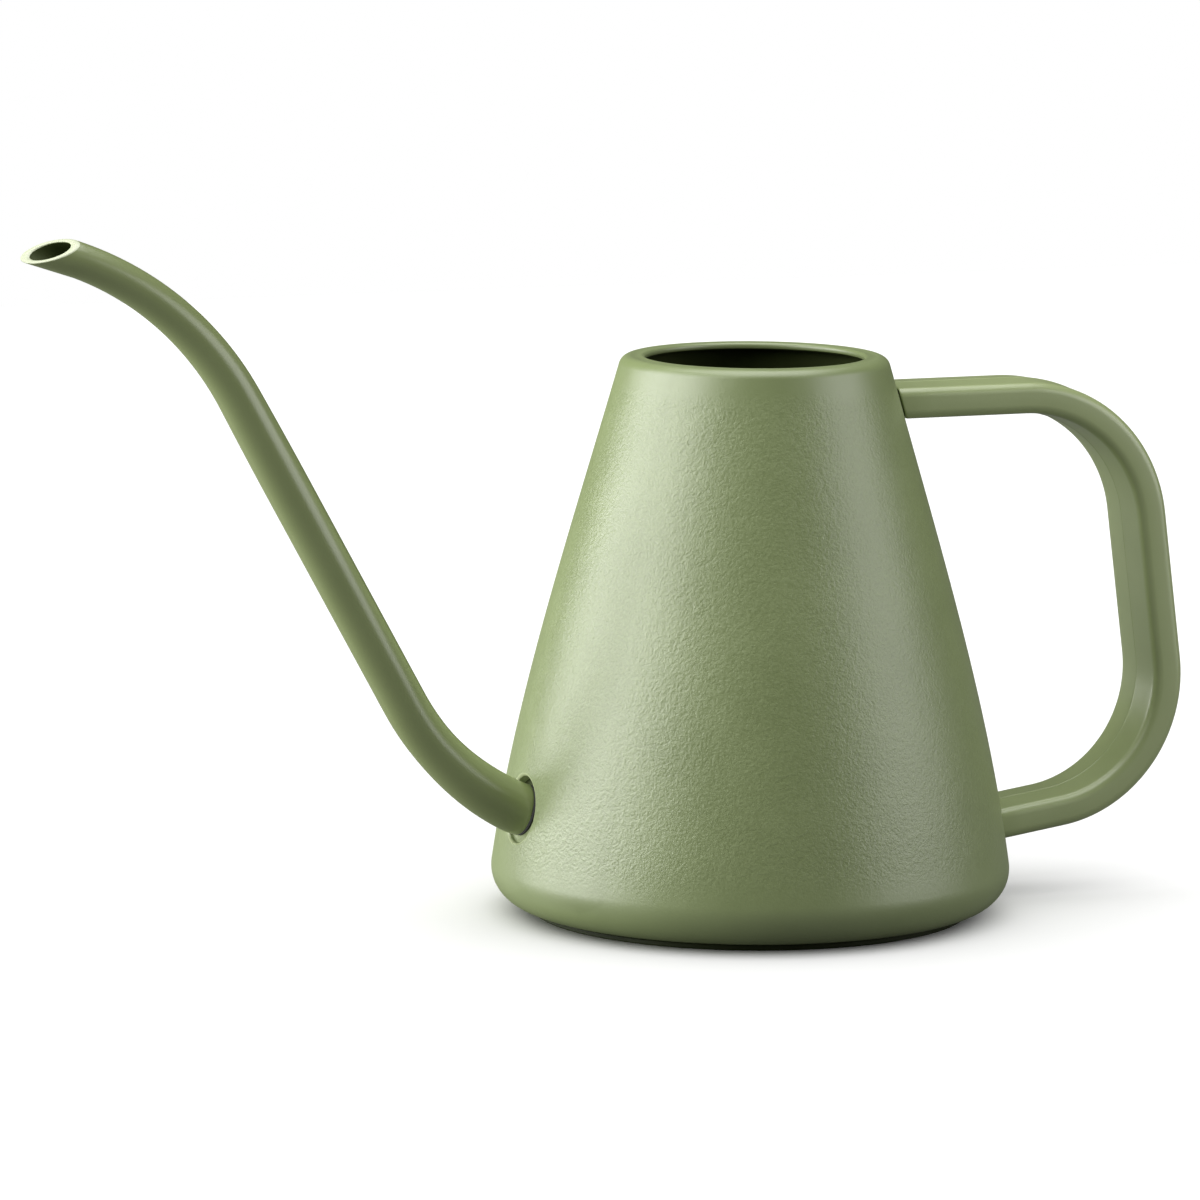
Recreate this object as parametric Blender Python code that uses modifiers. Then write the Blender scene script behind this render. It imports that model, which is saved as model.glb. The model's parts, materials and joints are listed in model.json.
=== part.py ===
"""Long-spout indoor watering can, modelled as the separate moulded parts it is assembled from.

Frame: +Z up, the can's own axis is Z, the origin is the middle of the flat underside.
The spout leaves along -X, the handle is on +X, and Y = 0 is the can's middle plane.
Metres throughout.
"""

import math

import bmesh
import bpy
from mathutils import Matrix, Vector

# Driving dimensions
base_radius = 0.0700  # widest part of the body
total_height = 0.1507  # underside to the top of the rim
foot_reveal = 0.0020  # base plate showing below the body
wall = 0.0023
corner_radius = 0.0100  # body bottom corner
shoulder_radius = 0.0032  # side to rim
side_bottom_ratio = 1.02  # side line's ends and its outward bow, as shares of base_radius
side_top_ratio = 0.51
side_bow_low = 0.282
side_bow_high = 0.088
rim_width = 0.0062  # side line to the mouth, at the top
rim_thickness = 0.0020
lip_radius = 0.0009
gap = 0.0003  # between pieces that touch

plate_inset = 0.0007  # plate's edge inside the start of the body's corner
underside_ledge = 0.0078  # body's in-turned underside that the plate covers
plate_thickness = 0.0024
plate_upstand = 0.0070
foot_ring_width = 0.0090
foot_pad_radius = 0.0200
foot_recess = 0.0010

seat_height = 0.0314  # middle of the spout's seat
seat_depth = 0.0025  # seat floor below the body's surface
seat_tilt = math.radians(16.5)  # spout axis above level
seat_margin = 0.0020  # seat round the spout's root
seat_floor = 0.0022

spout_root_radius = 0.0070
spout_mid_radius = 0.0060
spout_tip_radius = 0.0047
spout_wall = 0.0013
spout_seat_leg = 0.0034  # seat floor to the slight bend at the spout's foot
spout_foot_rise = math.radians(27.2)  # lower leg above level
spout_foot_bend = 0.0150
spout_lower_leg = 0.0237  # foot bend to the lower bend's corner
spout_middle_leg = 0.1499  # corner to corner
spout_upper_leg = 0.0375  # upper corner to the middle of the cut
spout_lean = math.radians(29.0)  # middle leg off upright
spout_tip_rise = math.radians(17.7)  # tip above level
spout_lower_bend = 0.0725
spout_upper_bend = 0.0836
spout_flare_length = 0.0350  # root radius eases to the middle radius along this
spout_taper_length = 0.0950  # middle radius eases to the tip radius along this
tip_cut_angle = math.radians(37.0)  # cut plane to the tip's own axis
tip_cut_turn = math.radians(-27.0)  # the cut faces a little towards -Y
spigot_radius = 0.0055
spigot_length = 0.0170
spigot_bore = 0.0041
seal_thickness = 0.0008
seal_inset = 0.0001  # seal inside the spout's root
key_width = 0.0016
key_height = 0.0011
sleeve_wall = 0.0017  # outside the keyway
sleeve_flange = 0.0020
sleeve_flange_width = 0.0022
seat_boss_margin = 0.0015  # boss round the sleeve's flange
sleeve_length = 0.0140
slide_clearance = 0.0001

handle_width = 0.0230
handle_thickness = 0.0093
handle_draft = 0.0004  # each broad face falls this much from its middle to its edge
handle_round = 0.0026
handle_top_drop = 0.0135  # rim to the middle of the upper arm
handle_upper_reach = 0.0703  # body to the upper corner, at its height
handle_lower_reach = 0.0565  # body to the lower corner, at its height
handle_lower_corner_height = 0.0280
handle_lower_slope = math.radians(8.0)
handle_upper_bend = 0.0385
handle_lower_bend = 0.0361
handle_end_gap = 0.0006
neck_width = 0.0160
neck_thickness = 0.0046
neck_reach = 0.0070  # how far the neck is buried in the arm
boss_half_width = 0.0115
boss_half_height = 0.0055
screw_radius = 0.0015
screw_length = 0.0140
screw_head_radius = 0.0032
screw_head_height = 0.0020
washer_radius = 0.0048
washer_thickness = 0.0012

turn_steps = 64

handle_top_height = total_height - handle_top_drop
seat_radius = spout_root_radius + seat_margin
seal_radius = spout_root_radius - seal_inset
sleeve_radius = spigot_radius + key_height + sleeve_wall
sleeve_flange_radius = sleeve_radius + sleeve_flange_width
seat_boss_radius = sleeve_flange_radius + seat_boss_margin

green = (0.246, 0.310, 0.160, 1.0)
dark_green = (0.060, 0.078, 0.030, 1.0)
black = (0.012, 0.012, 0.012, 1.0)
steel = (0.60, 0.60, 0.58, 1.0)

for old in list(bpy.data.objects):
    bpy.data.objects.remove(old, do_unlink=True)

parts = bpy.data.collections.new("watering_can")
cutters = bpy.data.collections.new("cutters")
bpy.context.scene.collection.children.link(parts)
bpy.context.scene.collection.children.link(cutters)


def plastic(name, colour, roughness, metallic=0.0):
    material = bpy.data.materials.new(name)
    material.use_nodes = True
    shader = material.node_tree.nodes["Principled BSDF"]
    shader.inputs["Base Color"].default_value = colour
    shader.inputs["Roughness"].default_value = roughness
    shader.inputs["Metallic"].default_value = metallic
    return material


def add_piece(obj, colour, roughness, metallic=0.0):
    """Puts a finished object among the can's pieces, shaded smooth, with its own material."""
    parts.objects.link(obj)
    obj.data.materials.clear()
    obj.data.materials.append(plastic(obj.name + "_material", colour, roughness, metallic))
    obj.data.shade_smooth()
    obj.data.set_sharp_from_angle(angle=math.radians(35))
    return obj


def add_helper(obj):
    """Puts a cutter or a solid that only feeds a Boolean out of the render."""
    cutters.objects.link(obj)
    obj.hide_render = True
    obj.display_type = "WIRE"
    return obj


def turned(name, profile, closed, steps=turn_steps):
    """A turned solid about its own Z: the profile runs down the outer side, top to bottom."""
    form = bmesh.new()
    corners = [form.verts.new((radius, 0.0, height)) for radius, height in profile]
    for first, second in zip(corners, corners[1:]):
        form.edges.new((first, second))
    if closed:
        form.edges.new((corners[-1], corners[0]))
    mesh = bpy.data.meshes.new(name)
    form.to_mesh(mesh)
    form.free()
    obj = bpy.data.objects.new(name, mesh)
    screw = obj.modifiers.new("Turn", "SCREW")
    screw.axis = "Z"
    screw.angle = math.tau
    screw.steps = steps
    screw.render_steps = steps
    screw.use_merge_vertices = True
    screw.merge_threshold = 0.00001
    screw.use_smooth_shade = True
    return obj


def block(name, low, high, rounding=0.0):
    """A box between two corners, with its edges rounded if a rounding is given."""
    form = bmesh.new()
    bmesh.ops.create_cube(form, size=1.0)
    size = [high[i] - low[i] for i in range(3)]
    middle = [(high[i] + low[i]) / 2 for i in range(3)]
    bmesh.ops.scale(form, vec=size, verts=form.verts)
    bmesh.ops.translate(form, vec=middle, verts=form.verts)
    mesh = bpy.data.meshes.new(name)
    form.to_mesh(mesh)
    form.free()
    obj = bpy.data.objects.new(name, mesh)
    if rounding:
        bevel = obj.modifiers.new("Rounding", "BEVEL")
        bevel.width = rounding
        bevel.segments = 2
        bevel.limit_method = "NONE"
    return obj


def rod(name, radius, low, high, segments=32):
    """A cylinder on its own Z axis between two heights."""
    form = bmesh.new()
    bmesh.ops.create_cone(form, cap_ends=True, segments=segments, radius1=radius, radius2=radius,
                          depth=high - low)
    bmesh.ops.translate(form, vec=(0, 0, (high + low) / 2), verts=form.verts)
    mesh = bpy.data.meshes.new(name)
    form.to_mesh(mesh)
    form.free()
    return bpy.data.objects.new(name, mesh)


def boolean(obj, operation, other):
    modifier = obj.modifiers.new(operation.title(), "BOOLEAN")
    modifier.operation = operation
    modifier.solver = "EXACT"
    modifier.object = other


def placed(obj, frame):
    obj.matrix_world = frame
    return obj


# The body's side line

side_low = foot_reveal
side_span = total_height - foot_reveal


def side_radius(height):
    share = (height - side_low) / side_span
    line = side_bottom_ratio * (1 - share) + side_top_ratio * share
    bow = share * (1 - share) * (side_bow_low * (1 - share) + side_bow_high * share)
    return base_radius * (line + bow)


def side_lean(height):
    """How far the side's outward normal is tilted up at this height."""
    step = 0.0005
    return math.atan((side_radius(height - step) - side_radius(height + step)) / (2 * step))


def inner_radius(height):
    return side_radius(height) - wall / math.cos(side_lean(height))


def arc(centre, radius, start, end, count):
    """Points on an arc in the profile plane, angles measured up from outward."""
    angles = [start + (end - start) * i / count for i in range(count + 1)]
    return [(centre[0] + radius * math.cos(a), centre[1] + radius * math.sin(a)) for a in angles]


def tangent_arc(centre_height, radius):
    """Centre of a rounding that is tangent to the side, and the lean where it meets it."""
    lean = side_lean(centre_height)
    for _ in range(20):
        lean = side_lean(centre_height + radius * math.sin(lean))
    across = side_radius(centre_height + radius * math.sin(lean)) - radius * math.cos(lean)
    return (across, centre_height), lean


shoulder_centre, shoulder_lean = tangent_arc(total_height - shoulder_radius, shoulder_radius)
corner_centre, corner_lean = tangent_arc(foot_reveal + corner_radius, corner_radius)
side_top = shoulder_centre[1] + shoulder_radius * math.sin(shoulder_lean)
side_foot = corner_centre[1] + corner_radius * math.sin(corner_lean)
mouth_radius = side_radius(total_height) - rim_width
base_plate_radius = corner_centre[0] - plate_inset
base_opening_radius = base_plate_radius - underside_ledge
side_count = 8


def outer_side(count):
    """Side points from the shoulder down to the corner, without the two ends."""
    heights = [side_top + (side_foot - side_top) * i / count for i in range(1, count)]
    return [(side_radius(height), height) for height in heights]


# Body shell: one turned wall with an in-turned rim and an in-turned underside

ceiling = total_height - rim_thickness
floor_top = foot_reveal + wall
inner_corner = corner_radius - wall
inner_heights = [corner_centre[1] + (ceiling - corner_centre[1]) * i / side_count for i in range(1, side_count + 1)]
shell_profile = arc((mouth_radius + lip_radius, total_height - lip_radius), lip_radius, math.pi, math.pi / 2, 4)
shell_profile += arc(shoulder_centre, shoulder_radius, math.pi / 2, shoulder_lean, 6)
shell_profile += outer_side(side_count)
shell_profile += arc(corner_centre, corner_radius, corner_lean, -math.pi / 2, 8)
shell_profile += [(base_opening_radius, foot_reveal), (base_opening_radius, floor_top)]
shell_profile += arc(corner_centre, inner_corner, -math.pi / 2, 0.0, 5)
shell_profile += [(inner_radius(height), height) for height in inner_heights]
shell_profile += arc((mouth_radius + lip_radius, ceiling + lip_radius), lip_radius, -math.pi / 2, -math.pi, 3)
body_shell = turned("body_shell", shell_profile, closed=True)

# The space a boss may fill: it ends inside the wall's thickness
core_profile = [(0.0, ceiling + rim_thickness / 2), (inner_radius(ceiling) + wall / 2, ceiling + rim_thickness / 2)]
core_profile += [(radius - wall / 2, height) for radius, height in outer_side(side_count)]
core_profile += [(corner_centre[0] + corner_radius - wall / 2, corner_centre[1]), (corner_centre[0], floor_top)]
core_profile += [(0.0, floor_top)]
core = add_helper(turned("boss_limit", core_profile, closed=False))

# Spout seat frame: Z runs out of the body along the spout's axis, X points up across it

seat_direction = Vector((-math.cos(seat_tilt), 0.0, math.sin(seat_tilt)))
seat_up = Vector((math.sin(seat_tilt), 0.0, math.cos(seat_tilt)))
seat_surface = Vector((-side_radius(seat_height), 0.0, seat_height))
seat_origin = seat_surface - seat_direction * seat_depth


def axis_frame(origin, outward, up):
    side = outward.cross(up)
    rotation = Matrix((up, side, outward)).transposed().to_4x4()
    return Matrix.Translation(origin) @ rotation


seat_frame = axis_frame(seat_origin, seat_direction, seat_up)

seat_boss = placed(rod("seat_boss", seat_boss_radius, -seat_floor, 0.0080, 48), seat_frame)
boolean(add_helper(seat_boss), "INTERSECT", core)
seat_recess = add_helper(placed(rod("seat_recess", seat_radius, 0.0, 0.0200, 48), seat_frame))
seat_hole = add_helper(placed(rod("seat_hole", spigot_radius + slide_clearance, -0.0200, 0.0100, 32), seat_frame))
slot_low = (0.0, -key_width / 2 - slide_clearance, -0.0400)
slot_high = (spigot_radius + key_height + slide_clearance, key_width / 2 + slide_clearance, 0.0100)
seat_keyway = add_helper(placed(block("seat_keyway", slot_low, slot_high), seat_frame))

# Handle: a band swept along two straight arms, two bends and a leaning grip

handle_lower_corner_x = side_radius(handle_lower_corner_height) + handle_lower_reach
grip_top = Vector((side_radius(handle_top_height) + handle_upper_reach, 0.0, handle_top_height))
grip_foot = Vector((handle_lower_corner_x, 0.0, handle_lower_corner_height))
arm_start = Vector((side_radius(handle_top_height) - 0.0120, 0.0, handle_top_height))
lower_away = Vector((-math.cos(handle_lower_slope), 0.0, -math.sin(handle_lower_slope)))
arm_end = grip_foot + lower_away * ((handle_lower_reach + 0.0120) / math.cos(handle_lower_slope))


def rounded_path(corners, bends, step):
    """Points along straight legs joined by arcs, all in the plane Y = 0."""
    points = [corners[0]]
    for before, corner, after, bend in zip(corners, corners[1:], corners[2:], bends):
        arriving = (corner - before).normalized()
        leaving = (after - corner).normalized()
        turn = arriving.angle(leaving)
        tangent = min(bend * math.tan(turn / 2), 0.95 * (corner - before).length)
        bend = tangent / math.tan(turn / 2)
        start = corner - arriving * tangent
        inward = (leaving - arriving * arriving.dot(leaving)).normalized()
        centre = start + inward * bend
        count = max(2, math.ceil(turn / step))
        for i in range(count + 1):
            angle = turn * i / count
            points.append(centre - inward * (bend * math.cos(angle)) + arriving * (bend * math.sin(angle)))
    points.append(corners[-1])
    return points


def polyline(name, points, radii=None, cyclic=False):
    data = bpy.data.curves.new(name, "CURVE")
    data.dimensions = "3D"
    data.use_fill_caps = True
    spline = data.splines.new("POLY")
    spline.points.add(len(points) - 1)
    for i, point in enumerate(points):
        spline.points[i].co = (point[0], point[1], point[2], 1.0)
        spline.points[i].radius = radii[i] if radii else 1.0
    spline.use_cyclic_u = cyclic
    return bpy.data.objects.new(name, data)


def meshed(curve):
    """The curve object's swept surface as a closed mesh object with the same name."""
    bpy.context.scene.collection.objects.link(curve)
    graph = bpy.context.evaluated_depsgraph_get()
    mesh = bpy.data.meshes.new_from_object(curve.evaluated_get(graph))
    frame = curve.matrix_world.copy()
    name = curve.name
    bpy.data.objects.remove(curve, do_unlink=True)
    form = bmesh.new()
    form.from_mesh(mesh)
    bmesh.ops.remove_doubles(form, verts=form.verts, dist=0.000005)
    bmesh.ops.recalc_face_normals(form, faces=form.faces)
    form.to_mesh(mesh)
    form.free()
    obj = bpy.data.objects.new(name, mesh)
    obj.matrix_world = frame
    return obj


def band_section():
    """The handle's outline across the sweep: broad faces highest on their middle line."""
    half_width = handle_width / 2
    edge = handle_thickness / 2 - handle_draft
    points = []
    for across, along in ((1, 1), (-1, 1), (-1, -1), (1, -1)):
        middle = (across * (half_width - handle_round), along * (edge - handle_round))
        start = {(1, 1): 0.0, (-1, 1): 0.5, (-1, -1): 1.0, (1, -1): 1.5}[(across, along)] * math.pi
        for i in range(6):
            angle = start + math.pi / 2 * i / 5
            points.append((middle[0] + handle_round * math.cos(angle), middle[1] + handle_round * math.sin(angle), 0.0))
        if (across, along) == (1, 1):
            points.append((0.0, handle_thickness / 2, 0.0))
        if (across, along) == (-1, -1):
            points.append((0.0, -handle_thickness / 2, 0.0))
    return points


section = polyline("band_section", band_section(), cyclic=True)
cutters.objects.link(section)
section.hide_render = True
band = polyline("handle", rounded_path([arm_start, grip_top, grip_foot, arm_end], [handle_upper_bend, handle_lower_bend], math.radians(6.5)))
band.data.bevel_mode = "OBJECT"
band.data.bevel_object = section
band.data.twist_mode = "MINIMUM"
handle = meshed(band)

trim_profile = [(0.0, total_height + 0.0200), (side_radius(total_height) + handle_end_gap, total_height + 0.0200)]
trim_heights = [total_height * (1 - i / 24) for i in range(0, 23)]
trim_profile += [(side_radius(height) + handle_end_gap, height) for height in trim_heights]
trim_profile += [(side_radius(0.0) + handle_end_gap, -0.0100), (0.0, -0.0100)]
handle_trim = add_helper(turned("handle_trim", trim_profile, closed=False))
boolean(handle, "DIFFERENCE", handle_trim)


def pad_position(height):
    """X of the flat inner face of a handle boss: just inside the wall over the whole boss."""
    narrow = inner_radius(height + boss_half_height)
    return math.sqrt(narrow ** 2 - boss_half_width ** 2) - 0.0005


def fixing(tag, height):
    """Boss and holes in the body, neck on the handle, and its screw and washer, at one arm."""
    pad = pad_position(height)
    face = side_radius(height)
    boss = block("boss_" + tag, (pad, -boss_half_width, height - boss_half_height),
                 (face + 0.0050, boss_half_width, height + boss_half_height), 0.0008)
    boolean(add_helper(boss), "INTERSECT", core)
    boolean(body_shell, "UNION", boss)
    neck = block("neck_" + tag, (pad + gap, -neck_width / 2, height - neck_thickness / 2),
                 (face + neck_reach, neck_width / 2, height + neck_thickness / 2), 0.0006)
    boolean(handle, "UNION", add_helper(neck))
    slot = block("neck_slot_" + tag, (pad - 0.0100, -neck_width / 2 - gap, height - neck_thickness / 2 - gap),
                 (face + 0.0100, neck_width / 2 + gap, height + neck_thickness / 2 + gap), 0.0006)
    boolean(body_shell, "DIFFERENCE", add_helper(slot))
    frame = axis_frame(Vector((pad, 0.0, height)), Vector((1.0, 0.0, 0.0)), Vector((0.0, 0.0, 1.0)))
    pilot = placed(rod("pilot_" + tag, screw_radius + gap, -0.0100, screw_length + 0.0015, 16), frame)
    boolean(handle, "DIFFERENCE", add_helper(pilot))
    hole = screw_radius + 2 * gap
    ring = [(hole, -gap), (washer_radius, -gap), (washer_radius, -gap - washer_thickness)]
    ring += [(hole, -gap - washer_thickness)]
    washer = placed(turned("handle_washer_" + tag, ring, closed=True, steps=32), frame)
    add_piece(washer, black, 0.8)
    head_top = -2 * gap - washer_thickness
    head_foot = head_top - screw_head_height
    shape = [(0.0, screw_length - 0.0020), (screw_radius * 0.4, screw_length - 0.0020)]
    shape += [(screw_radius, screw_length - 0.0050), (screw_radius, head_top), (screw_head_radius, head_top)]
    shape += [(screw_head_radius, head_foot + 0.0008), (screw_head_radius - 0.0008, head_foot), (0.0, head_foot)]
    screw = placed(turned("handle_screw_" + tag, shape, closed=False, steps=24), frame)
    for turn in (0.0, math.pi / 2):
        bar = block("drive_" + tag, (-0.0018, -0.0005, head_foot - 0.0010), (0.0018, 0.0005, head_foot + 0.0012))
        placed(bar, frame @ Matrix.Rotation(turn, 4, "Z"))
        boolean(screw, "DIFFERENCE", add_helper(bar))
    add_piece(screw, steel, 0.3, 1.0)


boolean(body_shell, "UNION", seat_boss)
fixing("upper", handle_top_height)
lower_fixing_height = handle_lower_corner_height - handle_lower_reach * math.tan(handle_lower_slope)
fixing("lower", lower_fixing_height)
for cutter in (seat_recess, seat_hole, seat_keyway):
    boolean(body_shell, "DIFFERENCE", cutter)
add_piece(body_shell, green, 0.5)
add_piece(handle, green, 0.4)

# Base plate: closes the body's underside, with a foot ring, a flat middle pad and an upstand

plate_top = foot_reveal - gap
upstand_radius = base_opening_radius - gap
plate_profile = [(0.0, plate_thickness), (upstand_radius - wall, plate_thickness)]
plate_profile += [(upstand_radius - wall, plate_upstand), (upstand_radius, plate_upstand)]
plate_profile += [(upstand_radius, plate_top), (base_plate_radius, plate_top)]
plate_profile += [(base_plate_radius, 0.0004), (base_plate_radius - 0.0004, 0.0)]
plate_profile += [(base_plate_radius - foot_ring_width, 0.0), (base_plate_radius - foot_ring_width, foot_recess)]
plate_profile += [(foot_pad_radius, foot_recess), (foot_pad_radius, 0.0), (0.0, 0.0)]
add_piece(turned("base_plate", plate_profile, closed=False), dark_green, 0.6)

# Spout: a tube on a bent path, written from the seat's middle, so its origin is on the axis

upright = Vector((-math.sin(spout_lean), 0.0, math.cos(spout_lean)))
tip_direction = Vector((-math.cos(spout_tip_rise), 0.0, math.sin(spout_tip_rise)))
seal_outer_face = gap + seal_thickness
root = seat_direction * (seal_outer_face + gap)
foot_corner = seat_direction * spout_seat_leg
foot_direction = Vector((-math.cos(spout_foot_rise), 0.0, math.sin(spout_foot_rise)))
lower_corner = foot_corner + foot_direction * spout_lower_leg
upper_corner = lower_corner + upright * spout_middle_leg
cut_middle = upper_corner + tip_direction * spout_upper_leg
tube_end = cut_middle + tip_direction * 0.0150
spout_bends = [spout_foot_bend, spout_lower_bend, spout_upper_bend]


def eased(share):
    share = min(max(share, 0.0), 1.0)
    return share * share * (3 - 2 * share)


def lengths_along(points):
    lengths = [0.0]
    for before, after in zip(points, points[1:]):
        lengths.append(lengths[-1] + (after - before).length)
    return lengths


def subdivided(points, longest):
    fine = [points[0]]
    for before, after in zip(points, points[1:]):
        count = max(1, math.ceil((after - before).length / longest))
        fine += [before.lerp(after, i / count) for i in range(1, count + 1)]
    return fine


def tube(name, points, radii, resolution):
    curve = polyline(name, points, radii)
    curve.data.bevel_depth = 1.0
    curve.data.bevel_resolution = resolution
    return meshed(curve)


spout_corners = [root, foot_corner, lower_corner, upper_corner, tube_end]
skin_points = subdivided(rounded_path(spout_corners, spout_bends, math.radians(5)), 0.018)
skin_lengths = lengths_along(skin_points)
taper_start = skin_lengths[-1] - 0.0150 - spout_taper_length


def skin_radius(length):
    flare = spout_root_radius + (spout_mid_radius - spout_root_radius) * eased(length / spout_flare_length)
    return flare + (spout_tip_radius - spout_mid_radius) * eased((length - taper_start) / spout_taper_length)


spout = tube("spout_tube", skin_points, [skin_radius(length) for length in skin_lengths], 5)
spigot_frame = axis_frame(Vector((0.0, 0.0, 0.0)), seat_direction, seat_up)
spigot = add_helper(placed(rod("spigot", spigot_radius, -spigot_length, 0.0060, 28), spigot_frame))
key_low = (spigot_radius - 0.0020, -key_width / 2, -spigot_length + 0.0010)
key_high = (spigot_radius + key_height - slide_clearance, key_width / 2, -0.0040)
spout_key = add_helper(placed(block("spout_key", key_low, key_high), spigot_frame))
bore_points = [seat_direction * -(spigot_length + 0.0050), seat_direction * 0.0030] + skin_points[1:]
bore_radii = [spigot_bore, spigot_bore]
for length in skin_lengths[1:]:
    bore_radii.append(max(min(skin_radius(length) - spout_wall, spigot_bore + length * 0.12), 0.0010))
bore_points.append(tube_end + tip_direction * 0.0050)
bore_radii.append(bore_radii[-1])
spout_bore = add_helper(tube("spout_bore", bore_points, bore_radii, 4))
cut_normal = Matrix.Rotation(-(math.pi / 2 - tip_cut_angle), 4, "Y").inverted() @ tip_direction
cut_normal = Matrix.Rotation(tip_cut_turn, 4, tip_direction) @ cut_normal
cut_side = cut_normal.cross(tip_direction).normalized()
cut_frame = axis_frame(cut_middle, cut_normal.normalized(), cut_side)
tip_cut = add_helper(placed(block("tip_cut", (-0.0400, -0.0400, 0.0), (0.0400, 0.0400, 0.0400)), cut_frame))
for helper in (spigot, spout_key, spout_bore, tip_cut):
    helper.matrix_world = Matrix.Translation(seat_origin) @ helper.matrix_world
spout.location = seat_origin
boolean(spout, "UNION", spigot)
boolean(spout, "UNION", spout_key)
boolean(spout, "DIFFERENCE", spout_bore)
boolean(spout, "DIFFERENCE", tip_cut)
add_piece(spout, green, 0.4)

# Rubber seal between the spout's shoulder and the seat

seal_hole = spigot_radius + gap
soft = seal_thickness * 0.3
seal_profile = [(seal_hole, seal_outer_face), (seal_radius - soft, seal_outer_face)]
seal_profile += [(seal_radius, seal_outer_face - soft), (seal_radius, gap + soft), (seal_radius - soft, gap)]
seal_profile += [(seal_hole, gap)]
add_piece(placed(turned("spout_seal", seal_profile, closed=True, steps=48), seat_frame), black, 0.7)

# Sleeve bonded inside the body behind the seat: it holds the spigot and its key

sleeve_face = -seat_floor - gap
sleeve_bore = spigot_radius + slide_clearance
sleeve_profile = [(sleeve_bore, sleeve_face), (sleeve_flange_radius, sleeve_face)]
sleeve_profile += [(sleeve_flange_radius, sleeve_face - sleeve_flange), (sleeve_radius, sleeve_face - sleeve_flange)]
sleeve_profile += [(sleeve_radius, sleeve_face - sleeve_length), (sleeve_bore, sleeve_face - sleeve_length)]
sleeve = placed(turned("spout_socket", sleeve_profile, closed=True, steps=32), seat_frame)
boolean(sleeve, "DIFFERENCE", seat_keyway)
add_piece(sleeve, dark_green, 0.6)
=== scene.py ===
import json
import math

import bmesh
import bpy
from mathutils import Matrix, Vector

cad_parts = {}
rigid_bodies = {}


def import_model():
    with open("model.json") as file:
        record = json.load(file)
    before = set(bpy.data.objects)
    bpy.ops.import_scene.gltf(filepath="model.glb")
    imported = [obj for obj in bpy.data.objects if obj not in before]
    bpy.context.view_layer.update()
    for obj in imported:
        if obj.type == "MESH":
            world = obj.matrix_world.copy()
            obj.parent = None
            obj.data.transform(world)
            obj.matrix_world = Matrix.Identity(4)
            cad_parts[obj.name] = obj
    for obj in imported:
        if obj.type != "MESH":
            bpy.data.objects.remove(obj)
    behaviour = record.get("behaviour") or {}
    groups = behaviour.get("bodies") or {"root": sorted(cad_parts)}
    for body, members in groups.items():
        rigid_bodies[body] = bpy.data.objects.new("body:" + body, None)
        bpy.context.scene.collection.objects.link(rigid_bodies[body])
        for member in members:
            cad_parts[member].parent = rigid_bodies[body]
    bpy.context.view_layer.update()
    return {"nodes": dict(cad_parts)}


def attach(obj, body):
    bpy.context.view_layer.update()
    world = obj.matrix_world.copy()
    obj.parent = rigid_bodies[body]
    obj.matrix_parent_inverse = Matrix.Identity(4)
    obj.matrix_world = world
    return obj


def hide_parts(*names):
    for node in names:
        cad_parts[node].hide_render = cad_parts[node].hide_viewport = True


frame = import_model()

# The can's own sizes, in metres

base_radius = 0.0700
total_height = 0.1507
foot_reveal = 0.0020
wall = 0.0023
corner_radius = 0.0100
shoulder_radius = 0.0032
side_bottom_ratio = 1.02
side_top_ratio = 0.51
side_bow_low = 0.282
side_bow_high = 0.088
rim_width = 0.0062
rim_thickness = 0.0020
lip_radius = 0.0009
plate_inset = 0.0007
underside_ledge = 0.0078
plate_thickness = 0.0024
plate_upstand = 0.0070
foot_ring_width = 0.0090
foot_pad_radius = 0.0200
foot_recess = 0.0010
foot_ribs = (0.0420, 0.0340)
gap = 0.0003
sliding_gap = 0.0001
cutter_overrun = 0.0100

seat_height = 0.0314
seat_depth = 0.0025
seat_tilt = math.radians(16.5)
seat_radius = 0.0090
seat_floor = 0.0022
seat_boss_radius = 0.0120
seat_edge_roll = 0.0008
seat_floor_round = 0.0004
spigot_radius = 0.0055
spigot_length = 0.0170
spigot_bore = 0.0041
seal_thickness = 0.0008
seal_radius = 0.0069
key_width = 0.0016
key_height = 0.0011

spout_root_radius = 0.0070
spout_mid_radius = 0.0060
spout_tip_radius = 0.0047
spout_wall = 0.0013
spout_seat_leg = 0.0034
spout_foot_rise = math.radians(27.2)
spout_foot_bend = 0.0150
spout_lower_leg = 0.0237
spout_middle_leg = 0.1499
spout_upper_leg = 0.0375
spout_lean = math.radians(29.0)
spout_tip_rise = math.radians(17.7)
spout_lower_bend = 0.0725
spout_upper_bend = 0.0836
spout_flare_length = 0.0350
spout_taper_length = 0.0950
tip_cut_angle = math.radians(37.0)
tip_cut_turn = math.radians(-27.0)
tip_edge_round = 0.00036
tube_overrun = 0.0150  # the tube's middle line is followed this far past its cut

handle_width = 0.0230
handle_thickness = 0.0093
handle_draft = 0.0004
handle_round = 0.0026
handle_top_drop = 0.0135
handle_upper_reach = 0.0703
handle_lower_reach = 0.0565
handle_lower_corner_height = 0.0280
handle_lower_slope = math.radians(8.0)
handle_upper_bend = 0.0385
handle_lower_bend = 0.0361
handle_end_gap = 0.0006
neck_width = 0.0160
neck_thickness = 0.0046
line_half_width = 0.00013
line_height = 0.00007
boss_half_width = 0.0115
boss_half_height = 0.0055

side_low = foot_reveal
side_span = total_height - foot_reveal
handle_top_height = total_height - handle_top_drop


def side_radius(height):
    share = (height - side_low) / side_span
    line = side_bottom_ratio * (1 - share) + side_top_ratio * share
    bow = share * (1 - share) * (side_bow_low * (1 - share) + side_bow_high * share)
    return base_radius * (line + bow)


def side_lean(height):
    step = 0.0005
    return math.atan((side_radius(height - step) - side_radius(height + step)) / (2 * step))


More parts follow.
